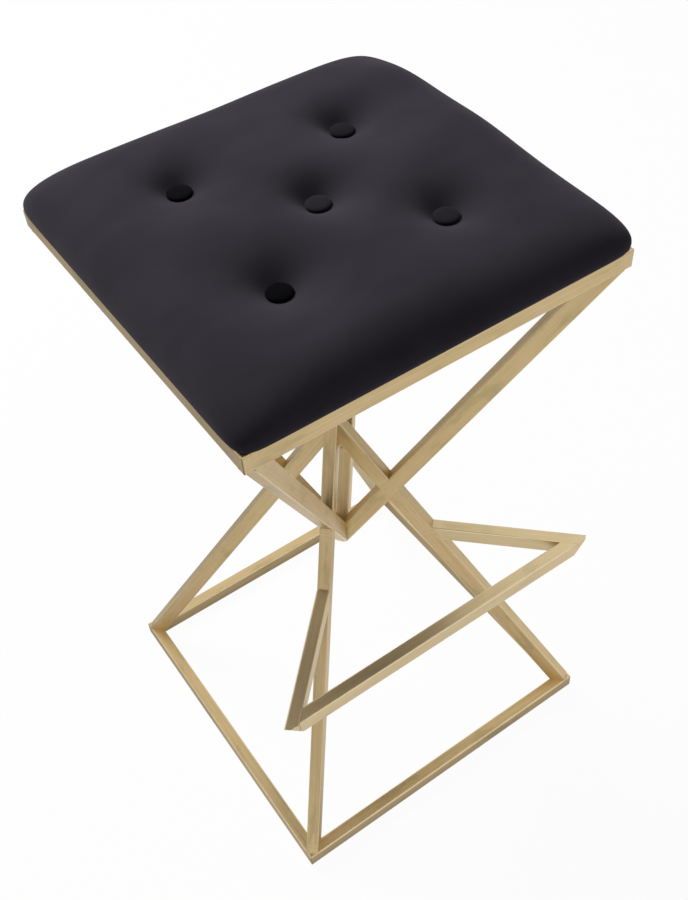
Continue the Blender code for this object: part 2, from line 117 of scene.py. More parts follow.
class Nodes:
    """Shorthand for a node tree: adds nodes, sets their values and links them."""

    def __init__(self, tree):
        self.tree = tree

    def add(self, kind, **values):
        node = self.tree.nodes.new(kind)
        for name, value in values.items():
            setattr(node, name, value)
        return node

    def put(self, value, socket):
        if isinstance(value, bpy.types.NodeSocket):
            self.tree.links.new(value, socket)
        else:
            socket.default_value = value

    def math(self, operation, a, b=None, c=None):
        node = self.add("ShaderNodeMath", operation=operation)
        for socket, value in zip(node.inputs, (a, b, c)):
            if value is not None:
                self.put(value, socket)
        return node.outputs[0]

    def vector(self, operation, a, b=None, scale=None):
        node = self.add("ShaderNodeVectorMath", operation=operation)
        self.put(a, node.inputs[0])
        if b is not None:
            self.put(b, node.inputs[1])
        if scale is not None:
            self.put(scale, node.inputs["Scale"])
        return node.outputs["Value" if operation in ("DOT_PRODUCT", "DISTANCE") else "Vector"]

    def ramp(self, value, low, high, to_low=0.0, to_high=1.0, kind="SMOOTHSTEP"):
        node = self.add("ShaderNodeMapRange", interpolation_type=kind)
        labels = ("Value", "From Min", "From Max", "To Min", "To Max")
        for label, item in zip(labels, (value, low, high, to_low, to_high)):
            self.put(item, node.inputs[label])
        return node.outputs["Result"]

    def noise(self, vector, scale, detail=2.0, roughness=0.5):
        node = self.add("ShaderNodeTexNoise")
        self.put(vector, node.inputs["Vector"])
        node.inputs["Scale"].default_value = scale
        node.inputs["Detail"].default_value = detail
        node.inputs["Roughness"].default_value = roughness
        return node.outputs["Fac"]

    def mix(self, factor, a, b, kind="MIX"):
        node = self.add("ShaderNodeMix", data_type="RGBA", blend_type=kind)
        self.put(factor, node.inputs["Factor"])
        self.put(a, node.inputs["A"])
        self.put(b, node.inputs["B"])
        return node.outputs["Result"]

    def mapped(self, vector, scale):
        node = self.add("ShaderNodeMapping")
        self.put(vector, node.inputs["Vector"])
        node.inputs["Scale"].default_value = scale
        return node.outputs["Vector"]

    def bump(self, height, strength, distance):
        node = self.add("ShaderNodeBump")
        node.inputs["Strength"].default_value = strength
        node.inputs["Distance"].default_value = distance
        self.put(height, node.inputs["Height"])
        return node.outputs["Normal"]


def new_group(name, inputs, outputs):
    """Empty shader node group with its sockets; each socket is a name, a kind and a starting value."""
    tree = bpy.data.node_groups.new(name, "ShaderNodeTree")
    for label, kind, value in inputs:
        socket = tree.interface.new_socket(label, in_out="INPUT", socket_type=kind)
        socket.default_value = value
    for label, kind in outputs:
        tree.interface.new_socket(label, in_out="OUTPUT", socket_type=kind)
    return tree, Nodes(tree), tree.nodes.new("NodeGroupInput"), tree.nodes.new("NodeGroupOutput")


def new_material(name, **settings):
    """Material with its own shader; settings that are the same all over go on the shader's sockets."""
    made = bpy.data.materials.new(name)
    made.use_nodes = True
    shader = made.node_tree.nodes["Principled BSDF"]
    for label, value in settings.items():
        shader.inputs[label.replace("_", " ").title().replace("Ior", "IOR")].default_value = value
    return made, Nodes(made.node_tree), shader


def place_group(n, tree, **values):
    """Group as a node, with a value or a link on each input that is named; gives its outputs."""
    node = n.add("ShaderNodeGroup", node_tree=tree)
    for label, value in values.items():
        n.put(value, node.inputs[label.replace("_", " ").title()])
    return node.outputs


# Brushed brass

TUBE_EDGE = 0.0016  # radius of a tube's edges
BRASS_DARK = (0.545, 0.402, 0.192, 1)  # hollows of the grain
BRASS_PALE = (0.770, 0.597, 0.335, 1)  # ridges of the grain
BRASS_OLIVE = (0.47, 0.375, 0.190, 1)  # dull patches
BRASS_WARM = (0.73, 0.535, 0.305, 1)  # reddish patches
BRASS_GROUND = (0.72, 0.555, 0.345, 1)  # near the joints
BRASS_RUBBED = (0.82, 0.72, 0.52, 1)  # on the footrest
BRASS_POLISH_AND_HIGHLIGHT = (0.86, 0.72, 0.47, 1)  # on the edges: a painted highlight of the rounded edges, and partly polish
FOOT_WEAR = 0.25  # how far feet have rubbed the footrest pale
LEVEL_POLISH_AND_HIGHLIGHT = 0.75  # how strong the paler edges, painted highlight and partly polish, are on level tubes
SLANTED_POLISH_AND_HIGHLIGHT = 0.40  # and those of legs and struts
WELD_STEPS = 4  # points on each rounded edge of a section
WELD_MATCH = 0.00006  # how near to the outline a corner of the tube's mesh lies on it
WELD_INSET = 0.00002  # how far the weld lies inside the tube's faces
WELD_ROOT = 0.0001  # how far the weld starts inside the tube's end
WELD_SEAM = 0.0005  # how far it goes on beyond that end
WELD_FLUSH = 0.0022  # where a leg meets the side of its strut, up to the flat of the strut's face


def brushed_tube_group():
    """Brushed finish of a straight tube.

    The surface point is split into its distance along the tube and its two offsets across it. Grain is noise
    stretched along the tube, and turns to run across it near a ground joint. Edge is one on the tube's four
    rounded edges. Tone is slow patches along the tube. Ground is one near a joint.
    """
    vector = "NodeSocketVector"
    value = "NodeSocketFloat"
    inputs = [
        ("Origin", vector, (0, 0, 0)),
        ("Along", vector, (1, 0, 0)),
        ("Across", vector, (0, 1, 0)),
        ("Half Width", value, 0.0075),
        ("Half Depth", value, 0.01),
        ("Joint One", value, -1.0),
        ("Joint Two", value, -1.0),
        ("Joint Three", value, -1.0),
    ]
    outputs = [("Grain", value), ("Edge", value), ("Tone", value), ("Ground", value)]
    tree, n, given, result = new_group("brushed_tube", inputs, outputs)
    point = n.vector("SUBTRACT", n.add("ShaderNodeTexCoord").outputs["Object"], given.outputs["Origin"])
    down = n.vector("CROSS_PRODUCT", given.outputs["Along"], given.outputs["Across"])
    along = n.vector("DOT_PRODUCT", point, given.outputs["Along"])
    across = n.vector("DOT_PRODUCT", point, given.outputs["Across"])
    depth = n.vector("DOT_PRODUCT", point, down)
    local = n.add("ShaderNodeCombineXYZ")
    for socket, item in zip(local.inputs, (along, across, depth)):
        n.put(item, socket)
    local = n.vector("ADD", local.outputs[0], n.vector("SCALE", given.outputs["Origin"], scale=7.0))
    fine = n.noise(n.mapped(local, (14, 1500, 1500)), 1.0, 2.0, 0.6)
    broad = n.noise(n.mapped(local, (7, 420, 420)), 1.0, 2.0, 0.5)
    turned = n.noise(n.mapped(local, (1100, 40, 40)), 1.0, 2.0, 0.6)
    lengthwise = n.math("MULTIPLY_ADD", fine, 0.6, n.math("MULTIPLY", broad, 0.4))
    nearest = None
    for label in ("Joint One", "Joint Two", "Joint Three"):
        away = n.math("ABSOLUTE", n.math("SUBTRACT", along, given.outputs[label]))
        nearest = away if nearest is None else n.math("MINIMUM", nearest, away)
    ragged = n.math("MULTIPLY_ADD", n.noise(local, 220.0, 2.0), 0.012, nearest)
    ground = n.ramp(ragged, 0.010, 0.026, 1.0, 0.0)
    unground = n.math("SUBTRACT", 1.0, ground)
    grain = n.math("MULTIPLY_ADD", lengthwise, unground, n.math("MULTIPLY", turned, ground))
    side = n.math("SUBTRACT", given.outputs["Half Width"], n.math("ABSOLUTE", across))
    top = n.math("SUBTRACT", given.outputs["Half Depth"], n.math("ABSOLUTE", depth))
    uneven = n.noise(n.mapped(local, (90, 10, 10)), 1.0, 3.0)
    rim = n.math("MULTIPLY_ADD", uneven, 0.0012, n.math("MAXIMUM", side, top))
    edge = n.math("MULTIPLY", n.ramp(rim, 0.0010, 0.0026, 1.0, 0.0), unground)
    tone = n.noise(n.mapped(local, (18, 60, 60)), 1.0, 3.0, 0.55)
    n.put(grain, result.inputs["Grain"])
    n.put(edge, result.inputs["Edge"])
    n.put(tone, result.inputs["Tone"])
    n.put(ground, result.inputs["Ground"])
    return tree


def corners_of(node):
    """Points of a node's mesh."""
    mesh = nodes[node].data
    co = np.empty(len(mesh.vertices) * 3)
    mesh.vertices.foreach_get("co", co)
    return co.reshape(-1, 3)


def tube_axes(node):
    """Where a tube lies: the direction that most of its long edges share, the level direction across it, the
    middle of its section, and half its length, width and depth."""
    mesh = nodes[node].data
    co = corners_of(node)
    ends = np.empty(len(mesh.edges) * 2, int)
    mesh.edges.foreach_get("vertices", ends)
    spans = np.diff(co[ends.reshape(-1, 2)], axis=1)[:, 0]
    length = np.linalg.norm(spans, axis=1, keepdims=True)
    ways = (spans / np.maximum(length, 1e-9))[length[:, 0] > 0.6 * length.max()]
    along = ways[np.argmax((np.abs(ways @ ways.T) > 1 - 1e-7).sum(1))]
    across = np.cross((0, 0, 1), along)
    across /= np.linalg.norm(across)
    axes = np.stack([along, across, np.cross(along, across)])
    local = co @ axes.T
    low, high = local.min(0), local.max(0)
    middle = (low + high) / 2
    return axes, axes.T @ middle, (high - low) / 2


def brass(node, group):
    """Brushed brass that runs along one tube: grain and patches in the colour, paler edges that are partly
    polish and partly a painted highlight, ground joints at both ends, and a third joint where a footrest arm
    or a leg meets the tube on its way."""
    axes, origin, half = tube_axes(node)
    slanted = abs(axes[0][2]) > 0.1
    third = -1.0
    if node in ("leg_front_left", "leg_front_right"):
        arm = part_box("footrest_arm_left")
        third = ((arm[0].z + arm[1].z) / 2 - origin[2]) / axes[0][2]
    if node.startswith("strut"):
        third = (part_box(node.replace("strut", "leg"))[1].z - origin[2]) / axes[0][2]
    made, n, shader = new_material("brass_" + node, metallic=1.0)
    out = place_group(
        n,
        group,
        origin=origin.tolist(),
        along=axes[0].tolist(),
        across=axes[1].tolist(),
        half_width=float(half[1]),
        half_depth=float(half[2]),
        joint_one=-float(half[0]),
        joint_two=float(half[0]),
        joint_three=float(third),
    )
    streak = n.ramp(out["Grain"], 0.28, 0.72, kind="LINEAR")
    colour = n.mix(streak, BRASS_DARK, BRASS_PALE)
    olive = n.ramp(out["Tone"], 0.32, 0.48, 0.60, 0.0)
    colour = n.mix(olive, colour, BRASS_OLIVE)
    warm = n.ramp(out["Tone"], 0.52, 0.68, 0.0, 0.45)
    colour = n.mix(warm, colour, BRASS_WARM)
    colour = n.mix(n.math("MULTIPLY", out["Ground"], 0.30), colour, BRASS_GROUND)
    if node.startswith("footrest"):
        colour = n.mix(FOOT_WEAR, colour, BRASS_RUBBED)
    # Paler edges: a painted highlight of the rounded edges, partly also polish
    polish_and_highlight = n.math("MULTIPLY", out["Edge"], SLANTED_POLISH_AND_HIGHLIGHT if slanted else LEVEL_POLISH_AND_HIGHLIGHT)
    colour = n.mix(polish_and_highlight, colour, BRASS_POLISH_AND_HIGHLIGHT)
    n.put(colour, shader.inputs["Base Color"])
    rough = n.math("MULTIPLY_ADD", out["Grain"], 0.22, 0.29)
    rough = n.math("MULTIPLY_ADD", out["Edge"], -0.10, rough)
    n.put(rough, shader.inputs["Roughness"])
    n.put(n.bump(out["Grain"], 0.22, 0.00025), shader.inputs["Normal"])
    return made


def weld_seams():
    """Ground weld metal that closes the seams between the tubes: at each end of a tube, the outline of its
    section, a rounded rectangle, carried on along the tube for the width of a seam."""
    quarter = np.radians(np.linspace(0, 90, WELD_STEPS))
    turn = (quarter[None] + np.radians([0, 90, 180, 270])[:, None]).reshape(-1)
    centre = np.repeat(np.array([(1, 1), (-1, 1), (-1, -1), (1, -1)]), WELD_STEPS, axis=0)
    arc = np.stack([np.cos(turn), np.sin(turn)], -1)
    count = len(turn)
    points, faces = [], []
    for node in TUBES:
        axes, origin, half = tube_axes(node)
        local = (corners_of(node) - origin) @ axes.T
        outline = centre * (half[1:] - TUBE_EDGE) + arc * TUBE_EDGE
        near = np.linalg.norm(local[:, None, 1:] - outline[None], axis=-1) < WELD_MATCH
        flush = outline * (1 - WELD_INSET / half[1:])
        for end in (-1, 1):
            reach = np.where(near, end * local[:, :1], -1.0).max(0)
            crossing = node.startswith("leg") and (end * axes[0][2] > 0) != node.startswith("leg_top")
            for carry in (-WELD_ROOT, WELD_FLUSH if crossing else WELD_SEAM):
                ring = np.column_stack([end * (reach + carry), flush])
                points.append(ring @ axes + origin)
            first = np.arange(count) + (len(points) - 2) * count
            second = first + count
            side = np.stack([first, np.roll(first, -1), np.roll(second, -1), second], -1)
            shut = [*side, first[::-1], second]
            faces += shut if end > 0 else [face[::-1] for face in shut]
    return surface("weld_seams", np.concatenate(points), faces, smooth=False)


def weld_material():
    """Ground weld: brass a little paler than the tube, crossed by fine grinding lines."""
    made, n, shader = new_material("ground_weld", metallic=1.0)
    point = n.add("ShaderNodeTexCoord").outputs["Object"]
    lines = n.noise(n.mapped(point, (900, 900, 60)), 1.0, 2.0, 0.6)
    n.put(n.mix(lines, (0.55, 0.415, 0.21, 1), (0.72, 0.565, 0.33, 1)), shader.inputs["Base Color"])
    n.put(n.math("MULTIPLY_ADD", lines, 0.2, 0.3), shader.inputs["Roughness"])
    n.put(n.bump(lines, 0.2, 0.0002), shader.inputs["Normal"])
    return made


# Cloth and small fittings

VELVET_LAID = (0.0292, 0.0259, 0.0330, 1)  # where the nap lies away
VELVET_RAISED = (0.0328, 0.0290, 0.0370, 1)  # where it stands up
VELVET_TIPS = (0.048, 0.043, 0.055, 1)


def pile_group():
    """Short pile: fibre tips as fine noise, and slow patches where the nap has been stroked one way or
    another."""
    value = "NodeSocketFloat"
    inputs = [("Fibre Scale", value, 2600.0), ("Nap Scale", value, 16.0)]
    outputs = [("Fibre", value), ("Nap", value)]
    tree, n, given, result = new_group("velvet_pile", inputs, outputs)
    point = n.add("ShaderNodeTexCoord").outputs["Object"]
    fibre = n.add("ShaderNodeTexNoise")
    n.put(point, fibre.inputs["Vector"])
    n.put(given.outputs["Fibre Scale"], fibre.inputs["Scale"])
    fibre.inputs["Detail"].default_value = 2.0
    nap = n.add("ShaderNodeTexNoise")
    n.put(n.mapped(point, (1.0, 1.6, 1.0)), nap.inputs["Vector"])
    n.put(given.outputs["Nap Scale"], nap.inputs["Scale"])
    nap.inputs["Detail"].default_value = 1.0
    n.put(fibre.outputs["Fac"], result.inputs["Fibre"])
    n.put(n.ramp(nap.outputs["Fac"], 0.32, 0.68), result.inputs["Nap"])
    return tree


def velvet(name, group, fibre_scale, nap_scale, depth=1.0):
    """Black velvet; depth scales the light that it gives back. Below one it is painted shade, which stands in
    for the shadow of a tuft's pit, and in part the darker pile that has parted there."""
    made, n, shader = new_material(
        name,
        sheen_weight=0.06 * depth,
        sheen_roughness=0.5,
        sheen_tint=(0.92, 0.88, 1.0, 1.0),
        specular_ior_level=0.10 * depth,
    )
    out = place_group(n, group, fibre_scale=fibre_scale, nap_scale=nap_scale)
    colour = n.mix(out["Nap"], VELVET_LAID, VELVET_RAISED)
    tips = n.ramp(out["Fibre"], 0.35, 0.75)
    colour = n.mix(n.math("MULTIPLY", tips, 0.25), colour, VELVET_TIPS)
    # Painted shade: depth darkens the colour, like the sheen and specular above, for a button in its pit's
    # shadow, partly also parted pile
    colour = n.mix(1.0, colour, (depth, depth, depth, 1), "MULTIPLY")
    n.put(colour, shader.inputs["Base Color"])
    n.put(n.math("MULTIPLY_ADD", out["Nap"], -0.08, 0.92), shader.inputs["Roughness"])
    n.put(n.bump(out["Fibre"], 0.25, 0.0004), shader.inputs["Normal"])
    return made


def dust_cloth_material():
    """Non-woven black cloth: matted fibres with a dimpled press pattern."""
    made, n, shader = new_material("dust_cloth", specular_ior_level=0.2)
    point = n.add("ShaderNodeTexCoord").outputs["Object"]
    fibre = n.noise(n.mapped(point, (1, 1, 0.05)), 900.0, 3.0, 0.65)
    dimple = n.add("ShaderNodeTexVoronoi")
    n.put(point, dimple.inputs["Vector"])
    dimple.inputs["Scale"].default_value = 620.0
    colour = n.mix(n.ramp(fibre, 0.35, 0.7), (0.012, 0.012, 0.013, 1), (0.035, 0.034, 0.036, 1))
    n.put(colour, shader.inputs["Base Color"])
    n.put(n.ramp(fibre, 0.3, 0.7, 0.95, 0.80), shader.inputs["Roughness"])
    n.put(n.bump(dimple.outputs["Distance"], 0.3, 0.0004), shader.inputs["Normal"])
    return made


def plywood_material():
    """Sanded veneer: growth lines along X with slow colour drift."""
    made, n, shader = new_material("plywood")
    point = n.add("ShaderNodeTexCoord").outputs["Object"]
    lines = n.noise(n.mapped(point, (5, 160, 400)), 1.0, 4.0, 0.6)
    drift = n.noise(n.mapped(point, (3, 14, 60)), 1.0, 2.0)
    colour = n.mix(n.ramp(lines, 0.35, 0.7), (0.40, 0.27, 0.15, 1), (0.60, 0.45, 0.29, 1))
    colour = n.mix(n.math("MULTIPLY", drift, 0.4), colour, (0.50, 0.37, 0.24, 1))
    n.put(colour, shader.inputs["Base Color"])
    n.put(n.ramp(lines, 0.3, 0.7, 0.80, 0.65), shader.inputs["Roughness"])
    n.put(n.bump(lines, 0.2, 0.0003), shader.inputs["Normal"])
    return made


def zinc_material():
    """Zinc plate: crystal patches of slightly different grey."""
    made, n, shader = new_material("zinc_plate", metallic=1.0)
    point = n.add("ShaderNodeTexCoord").outputs["Object"]
    crystal = n.add("ShaderNodeTexVoronoi")
    n.put(point, crystal.inputs["Vector"])
    crystal.inputs["Scale"].default_value = 420.0
    shade = n.noise(point, 900.0, 3.0)
    colour = n.mix(crystal.outputs["Distance"], (0.42, 0.43, 0.45, 1), (0.60, 0.60, 0.60, 1))
    n.put(colour, shader.inputs["Base Color"])
    n.put(n.ramp(shade, 0.3, 0.7, 0.28, 0.50), shader.inputs["Roughness"])
    n.put(n.bump(shade, 0.15, 0.0002), shader.inputs["Normal"])
    return made


def nylon_material():
    """Moulded nylon: fine spark texture, scuffed paler underneath."""
    made, n, shader = new_material("nylon_glide")
    point = n.add("ShaderNodeTexCoord").outputs["Object"]
    spark = n.noise(point, 2200.0, 2.0)
    scuff = n.noise(n.mapped(point, (300, 900, 300)), 1.0, 3.0)
    colour = n.mix(n.ramp(scuff, 0.55, 0.75), (0.030, 0.030, 0.031, 1), (0.085, 0.084, 0.082, 1))
    n.put(colour, shader.inputs["Base Color"])
    n.put(n.ramp(scuff, 0.4, 0.7, 0.42, 0.62), shader.inputs["Roughness"])
    n.put(n.bump(spark, 0.2, 0.0002), shader.inputs["Normal"])
    return made


def twine_material():
    """Waxed twine: plies that wind round the upright line."""
    made, n, shader = new_material("waxed_twine")
    point = n.add("ShaderNodeTexCoord").outputs["Object"]
    ply = n.add("ShaderNodeTexWave", wave_type="BANDS", bands_direction="DIAGONAL")
    n.put(point, ply.inputs["Vector"])
    ply.inputs["Scale"].default_value = 700.0
    colour = n.mix(ply.outputs["Fac"], (0.36, 0.31, 0.23, 1), (0.56, 0.51, 0.41, 1))
    n.put(colour, shader.inputs["Base Color"])
    n.put(n.math("MULTIPLY_ADD", ply.outputs["Fac"], -0.15, 0.85), shader.inputs["Roughness"])
    n.put(n.bump(ply.outputs["Fac"], 0.4, 0.0003), shader.inputs["Normal"])
    return made


# Seat pad

COVER_LOW, COVER_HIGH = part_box("velvet_cover")
BOARD_LOW, BOARD_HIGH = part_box("seat_board")
FOAM_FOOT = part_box("foam_pad")[0].z
PAD_HALF = COVER_HIGH.x  # at the fullest line
PAD_FOOT = COVER_LOW.z
PAD_WAIST = PAD_FOOT + 0.0072  # height of the fullest line
PLAY_BELOW = 0.0003  # between the board and the hem
PLAY_BESIDE = 0.0006  # between the board's edge and the cloth
CLOTH = BOARD_LOW.z - PAD_FOOT - PLAY_BELOW  # thickness of the cloth
FOOT_HALF = BOARD_HIGH.x + CLOTH + PLAY_BESIDE
HEM = 0.025  # how far the cloth turns under the board
LAST_RING = 0.004  # half width of the innermost ring on the board's top
EDGE_RISE = 0.0310  # from the fullest line up to the end of the rounded shoulder
SHOULDER = 0.042  # radius of that rounding, measured in from the edge
DOME_RISE = 0.0145  # from there to the middle
SQUARE_RING = 0.2  # ring of the grid up to which it is square
CROWN_RING = 0.75  # ring up to which the corners are as round as on the crown
CROWN_CORNER = 0.200  # roundness of the corners there: nought would be sharp, a half a circle
FULL_CORNER = 0.046  # roundness of the corners at the fullest line
FOOT_CORNER = 0.038  # roundness of the corners at the foot
UNEVEN = (  # where the stuffing lies thicker or thinner: place, reach and height
    (0.185, 0.105, 0.062, 0.0105),
    (0.185, 0.000, 0.062, 0.0085),
    (0.185, -0.130, 0.050, -0.0010),
    (0.000, 0.185, 0.060, -0.0020),
    (-0.170, 0.170, 0.050, 0.0020),
    (0.110, -0.185, 0.055, -0.0030),
)
RIGHT_OVERHANG = 0.0030  # how far the cover stands out over the right rail, in the middle
RIGHT_START = 0.10  # where that begins, to the right of the middle
RIGHT_REACH = 0.12  # and how far it goes along the rail

# How each tuft was drawn: shift along x and y, extra depth, reach of the funnel round it, and how much light
# its button gives back, which is painted shade of its pit and in part its parted pile
TUFT_SHAPES = {
    "centre": (0.0017, -0.0063, -0.003, 0.0240, 0.65),
    "front_left": (-0.0019, 0.0040, 0.001, 0.0280, 0.13),
    "front_right": (-0.0080, -0.0034, -0.002, 0.0245, 0.55),
    "back_left": (0.0013, 0.0039, -0.001, 0.0240, 0.20),
    "back_right": (0.0009, -0.0063, -0.001, 0.0245, 0.48),
}
TUFT_HALF = 0.0115  # radius of the cloth that a button holds down
TUFT_STEEP = 1.18  # above one, the funnel is level at the button's edge
TUFT_LEAN = 0.20  # how much longer the funnel is on the front side, and shorter on the back
TUFT_LIFT = 0.0020  # from a button's foot up to the cloth that it holds down
CELL = 0.0042  # width of a cell of the grid that is stuffed
SIDE_SPAN = 0.08  # how far the grid goes on for the side, where one is from the middle to the fullest line
HEM_SPAN = 0.12  # and for the hem after that
STUFFING_STEPS = 20
SWELL_CAP = 0.006  # most that the stuffing moves the cloth
SWELL_SMOOTHING = 24  # times that this movement is averaged


def tuft_place(name):
    """Middle of a button's foot: that of its solid, moved as its tuft was drawn."""
    low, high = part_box("button_" + name)
    across, deep, sink, *_ = TUFT_SHAPES[name]
    return np.array([(low.x + high.x) / 2 + across, (low.y + high.y) / 2 + deep, low.z - sink])


TUFT_POINTS = np.array([tuft_place(name) for name in TUFTS])
TUFT_FLOORS = TUFT_POINTS[:, 2] + TUFT_LIFT
TUFT_REACH = np.array([TUFT_SHAPES[name][3] for name in TUFTS])


def shoulder_rise(away):
    """Quarter circle: nought at the pad's fullest line, one at a shoulder radius in from it."""
    t = np.clip(away / SHOULDER, 0, 1)
    return np.sqrt(1 - (1 - t) ** 2)


def pad_lines():
    """Line places from the middle to the edge, half a cell apart measured over the crown, then down the side
    and under the hem. Every second line belongs to the coarser grid that is stuffed."""
    p = np.linspace(0, 1, 6001)
    z = EDGE_RISE * shoulder_rise((1 - p) * PAD_HALF)
    arc = np.concatenate([[0], np.cumsum(np.hypot(np.diff(p * PAD_HALF), np.diff(z)))])
    crown = np.interp(np.linspace(0, arc[-1], 2 * round(arc[-1] / CELL) + 1), arc, p)
    side = 1 + SIDE_SPAN * np.linspace(0, 1, 2 * round((PAD_WAIST - PAD_FOOT) / CELL) + 1)[1:]
    hem = 1 + SIDE_SPAN + HEM_SPAN * np.linspace(0, 1, 2 * round(HEM / CELL) + 1)[1:]
    half = np.concatenate([crown, side, hem])
    return np.concatenate([-half[:0:-1], half])


def ring_plan(p, q, roundness):
    """Factor that turns a square ring of the grid into a superellipse whose exponent is one over the corners'
    roundness."""
    ring = np.maximum(np.maximum(np.abs(p), np.abs(q)), 1e-9)
    total = np.abs(p / ring) ** (1 / roundness) + np.abs(q / ring) ** (1 / roundness)
    return np.maximum(total, 1) ** -roundness


def tuft_pulls(x, y):
    """How far each tuft draws the cloth down to its own floor: all the way on its button's patch, and from
    there less by the exponential of a power of the distance over the funnel's reach, which leans to the
    front."""
    aside, behind = x[..., None] - TUFT_POINTS[:, 0], y[..., None] - TUFT_POINTS[:, 1]
    apart = np.hypot(aside, behind)
    reach = TUFT_REACH * (1 - TUFT_LEAN * behind / np.maximum(apart, 1e-9))
    return np.exp(-((np.clip(apart - TUFT_HALF, 0, None) / reach) ** TUFT_STEEP))


def pad_form(p, q):
    """The pad before it is stuffed. Its rings are superellipses, sharper towards the foot. The shoulder is a
    quarter circle of the distance to the outer ring. A low dome lies on it, a parabola along x times one
    along y, with bell curves where the stuffing is uneven. Funnels lead down to the tufts. The side draws in
    from the fullest line to the foot, and the hem turns under."""
    ring = np.maximum(np.abs(p), np.abs(q))
    inner = np.minimum(ring, 1)
    shrink = inner / np.maximum(ring, 1e-9)
    u, v = p * shrink, q * shrink
    down = np.clip((ring - 1) / SIDE_SPAN, 0, 1)
    under = np.clip((ring - 1 - SIDE_SPAN) / HEM_SPAN, 0, 1)
    up = np.clip((1 - ring) / (1 - CROWN_RING), 0, 1)
    corner = FULL_CORNER + (CROWN_CORNER - FULL_CORNER) * up**0.8 + (FOOT_CORNER - FULL_CORNER) * down
    plan = 1 + (ring_plan(p, q, corner) - 1) * smoothstep(SQUARE_RING, CROWN_RING, ring)
    half = PAD_HALF - (PAD_HALF - FOOT_HALF) * down**2 - HEM * under
    x, y = u * half * plan, v * half * plan
    overhang = RIGHT_OVERHANG * smoothstep(RIGHT_START, PAD_HALF, x) * np.exp(-((y / RIGHT_REACH) ** 2))
    x = x + overhang * (1 - down)
    rise = shoulder_rise((1 - inner) * PAD_HALF)
    dome = (1 - (x / PAD_HALF) ** 2) * (1 - (y / PAD_HALF) ** 2)
    crown = (EDGE_RISE + DOME_RISE * dome) * rise
    for ux, uy, spread, height in UNEVEN:
        crown = crown + height * rise * np.exp(-((x - ux) ** 2 + (y - uy) ** 2) / spread**2)
    z = PAD_WAIST + crown - (PAD_WAIST - PAD_FOOT) * down
    pulls = tuft_pulls(x, y)
    pull = (1 - np.prod(1 - pulls, axis=-1)) * rise
    floor = (pulls * TUFT_FLOORS).sum(-1) / np.maximum(pulls.sum(-1), 1e-12)
    return np.stack([x, y, z - pull * (z - floor)], -1)


def averaged(grid):
    """Each point of a grid as the mean of itself and its neighbours along both directions."""
    for axis in (0, 1):
        rows = np.moveaxis(grid, axis, 0)
        beyond = np.concatenate([rows[:1], rows, rows[-1:]])
        grid = np.moveaxis((beyond[:-2] + beyond[1:-1] + beyond[2:]) / 3, 0, axis)
    return grid


def stuffed(grid, sewn):
    """How each point of the cloth moves when it is blown up from inside, in a few steps of cloth simulation
    without gravity, while the sewn points stay where they are. Only the movement straight out is kept, up to
    the swell cap and averaged over the neighbours, because foam under the cloth keeps it from sinking in and
    creasing."""
    count = len(grid)
    points = grid.reshape(-1, 3)
    trial = surface("pad_trial", points, grid_faces(count, count)[:, ::-1])
    group = trial.vertex_groups.new(name="sewn")
    group.add(np.flatnonzero(sewn).tolist(), 1.0, "REPLACE")
    cloth = trial.modifiers.new("stuffing", "CLOTH")
    cloth.settings.quality = 6
    cloth.settings.mass = 0.3
    cloth.settings.tension_stiffness = 18
    cloth.settings.compression_stiffness = 18
    cloth.settings.shear_stiffness = 8
    cloth.settings.bending_stiffness = 0.6
    cloth.settings.use_pressure = True
    cloth.settings.uniform_pressure_force = 4
    cloth.settings.vertex_group_mass = group.name
    cloth.settings.effector_weights.gravity = 0
    cloth.collision_settings.use_collision = False
    cloth.point_cache.frame_end = STUFFING_STEPS
    for step in range(1, STUFFING_STEPS + 1):
        scene.frame_set(step)
    swollen = np.empty(points.size)
    evaluated = trial.evaluated_get(bpy.context.evaluated_depsgraph_get())
    evaluated.data.vertices.foreach_get("co", swollen)
    bpy.data.objects.remove(trial)
    scene.frame_set(1)
    out = np.cross(np.gradient(grid, axis=0), np.gradient(grid, axis=1))
    out /= np.linalg.norm(out, axis=-1, keepdims=True)
    swell = ((swollen.reshape(grid.shape) - grid) * out).sum(-1)
    swell = SWELL_CAP * np.tanh(np.clip(swell, 0, None) / SWELL_CAP)
    for _ in range(SWELL_SMOOTHING):
        swell = averaged(swell) * ~sewn
    return swell[..., None] * out


def refined(grid):
    """Grid with a new line half way between each two, by the four-point rule: nine sixteenths of the two
    neighbours less one sixteenth of the two beyond them."""
    for axis in (0, 1):
        rows = np.moveaxis(grid, axis, 0)
        beyond = np.concatenate([2 * rows[:1] - rows[1:2], rows, 2 * rows[-1:] - rows[-2:-1]])
        finer = np.empty((2 * len(rows) - 1, *rows.shape[1:]))
        finer[::2] = rows
        finer[1::2] = (9 * (beyond[1:-2] + beyond[2:-1]) - beyond[:-3] - beyond[3:]) / 16
        grid = np.moveaxis(finer, 0, axis)
    return grid


